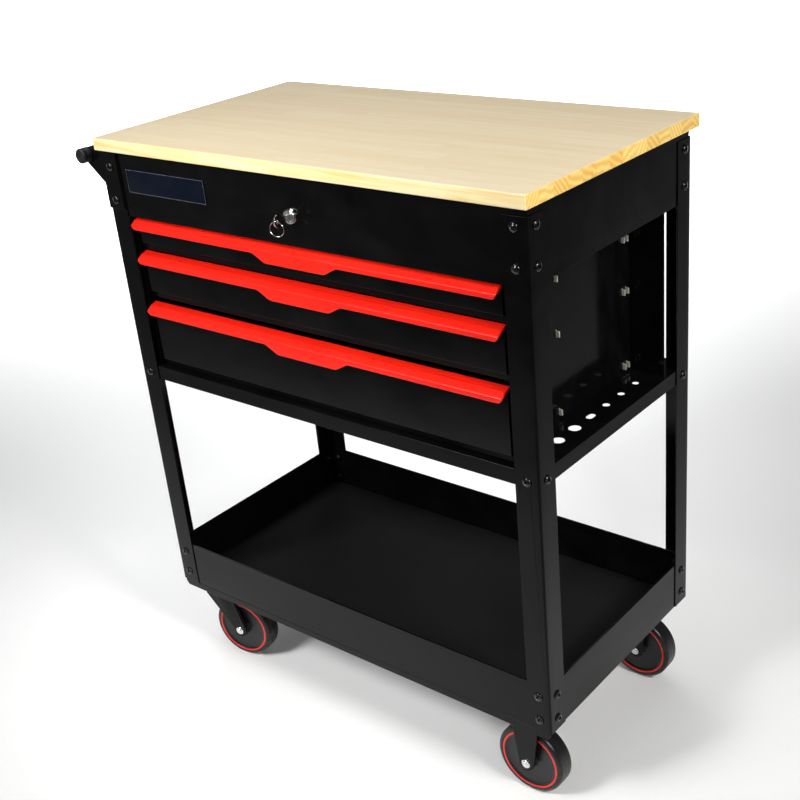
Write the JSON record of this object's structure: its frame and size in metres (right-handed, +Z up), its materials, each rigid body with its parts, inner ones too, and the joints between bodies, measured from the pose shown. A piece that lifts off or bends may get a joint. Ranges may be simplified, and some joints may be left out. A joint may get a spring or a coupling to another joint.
{
  "type": "rolling tool chest",
  "caption": "Open-frame rolling service cart with a wooden top, lockable sliding drawers with red pulls, a side tool rack, a deep lower tray, a push handle and casters.",
  "frame": {"origin": "on the floor, under the middle of the object's box", "axes": "+X to the right seen from the front, where the drawers are, +Y to the back, +Z up"},
  "size_m": [0.7434, 0.409, 0.8455],
  "materials": {
    "black_powder_coat": "gloss black powder coat",
    "red_pull": "gloss red",
    "zinc": "bright zinc plate",
    "chrome": "polished",
    "black_bolt": "black oxide",
    "hardwood": "pale laminated hardwood, satin lacquer",
    "tyre_rubber": "moulded rubber",
    "wheel_plastic": "moulded plastic",
    "cap_plastic": "fine moulded texture",
    "mat_rubber": "fine ribbed mat",
    "badge_blue": "plain gloss plate"
  },
  "bodies": {
    "frame": {"worktop": "hardwood", "top_pan": "black_powder_coat", "post_front_left": "black_powder_coat", "post_front_right": "black_powder_coat", "post_rear_left": "black_powder_coat", "post_rear_right": "black_powder_coat", "cabinet_left": "black_powder_coat", "cabinet_right": "black_powder_coat", "cabinet_back": "black_powder_coat", "mid_deck": "black_powder_coat", "bottom_tray": "black_powder_coat", "tray_mat": "mat_rubber", "front_channel": "black_powder_coat", "rear_channel": "black_powder_coat", "handle_bracket_front": "black_powder_coat", "handle_bracket_rear": "black_powder_coat", "handle_tube": "black_powder_coat", "handle_caps": "cap_plastic", "lock_housing": "chrome", "badge": "badge_blue", "slides_outer": "zinc", "frame_bolts": "black_bolt", "caster_bolts": "zinc", "swivel_plates": "black_powder_coat", "rigid_forks": "black_powder_coat", "axles_right": "chrome"},
    "lock": {"lock_plug": "chrome", "key": "chrome"},
    "key_ring": {"key_ring": "chrome"},
    "lock_bar": {"lock_bar": "zinc"},
    "drawer_top": {"drawer_box_top": "black_powder_coat", "drawer_front_top": "black_powder_coat", "pull_top": "red_pull", "slides_inner_top": "zinc"},
    "slide_top": {"slides_middle_top": "zinc"},
    "drawer_middle": {"drawer_box_middle": "black_powder_coat", "drawer_front_middle": "black_powder_coat", "pull_middle": "red_pull", "slides_inner_middle": "zinc"},
    "slide_middle": {"slides_middle_middle": "zinc"},
    "drawer_bottom": {"drawer_box_bottom": "black_powder_coat", "drawer_front_bottom": "black_powder_coat", "pull_bottom": "red_pull", "slides_inner_bottom": "zinc"},
    "slide_bottom": {"slides_middle_bottom": "zinc"},
    "swivel_front": {"swivel_fork_front": "black_powder_coat", "axle_front_left": "chrome"},
    "roller_front_left": {"tyre_front_left": "tyre_rubber", "wheel_front_left": "wheel_plastic"},
    "roller_front_right": {"tyre_front_right": "tyre_rubber", "wheel_front_right": "wheel_plastic"},
    "swivel_rear": {"swivel_fork_rear": "black_powder_coat", "axle_rear_left": "chrome"},
    "roller_rear_left": {"tyre_rear_left": "tyre_rubber", "wheel_rear_left": "wheel_plastic"},
    "roller_rear_right": {"tyre_rear_right": "tyre_rubber", "wheel_rear_right": "wheel_plastic"}
  },
  "joints": [
    {"name": "drawer_top_slide", "type": "slide", "parent": "frame", "child": "drawer_top", "axis": [0, -1, 0], "range_m": [0, 0.26]},
    {"name": "slide_top_run", "type": "slide", "parent": "frame", "child": "slide_top", "axis": [0, -1, 0], "range_m": [0, 0.13]},
    {"name": "drawer_middle_slide", "type": "slide", "parent": "frame", "child": "drawer_middle", "axis": [0, -1, 0], "range_m": [0, 0.26]},
    {"name": "slide_middle_run", "type": "slide", "parent": "frame", "child": "slide_middle", "axis": [0, -1, 0], "range_m": [0, 0.13]},
    {"name": "drawer_bottom_slide", "type": "slide", "parent": "frame", "child": "drawer_bottom", "axis": [0, -1, 0], "range_m": [0, 0.26]},
    {"name": "slide_bottom_run", "type": "slide", "parent": "frame", "child": "slide_bottom", "axis": [0, -1, 0], "range_m": [0, 0.13]},
    {"name": "lock_turn", "type": "hinge", "parent": "frame", "child": "lock", "pos_m": [0.01875, -0.1755, 0.7775], "axis": [0, 1, 0], "range_deg": [0, 90]},
    {"name": "lock_bar_drop", "type": "slide", "parent": "frame", "child": "lock_bar", "axis": [0, 0, -1], "range_m": [0, 0.0113]},
    {"name": "key_ring_swing", "type": "hinge", "parent": "lock", "child": "key_ring", "pos_m": [0.01875, -0.2005, 0.7774], "axis": [1, 0, 0], "range_deg": [-30, 30]},
    {"name": "swivel_front_turn", "type": "hinge", "parent": "frame", "child": "swivel_front", "pos_m": [-0.27925, -0.1385, 0.112], "axis": [0, 0, 1], "continuous": true},
    {"name": "wheel_front_left_roll", "type": "hinge", "parent": "swivel_front", "child": "roller_front_left", "pos_m": [-0.24774, -0.13294, 0.051], "axis": [-0.1736, 0.9848, 0], "continuous": true},
    {"name": "wheel_front_right_roll", "type": "hinge", "parent": "frame", "child": "roller_front_right", "pos_m": [0.31275, -0.1385, 0.051], "axis": [0, 1, 0], "continuous": true},
    {"name": "swivel_rear_turn", "type": "hinge", "parent": "frame", "child": "swivel_rear", "pos_m": [-0.27925, 0.1525, 0.112], "axis": [0, 0, 1], "continuous": true},
    {"name": "wheel_rear_left_roll", "type": "hinge", "parent": "swivel_rear", "child": "roller_rear_left", "pos_m": [-0.24774, 0.15806, 0.051], "axis": [-0.1736, 0.9848, 0], "continuous": true},
    {"name": "wheel_rear_right_roll", "type": "hinge", "parent": "frame", "child": "roller_rear_right", "pos_m": [0.31275, 0.1525, 0.051], "axis": [0, 1, 0], "continuous": true}
  ],
  "couplings": [
    {"joint": "slide_top_run", "follows": "drawer_top_slide", "ratio": 0.5},
    {"joint": "slide_middle_run", "follows": "drawer_middle_slide", "ratio": 0.5},
    {"joint": "slide_bottom_run", "follows": "drawer_bottom_slide", "ratio": 0.5},
    {"joint": "lock_turn", "follows": "lock_bar_drop", "rad_per_m": 138.8}
  ]
}
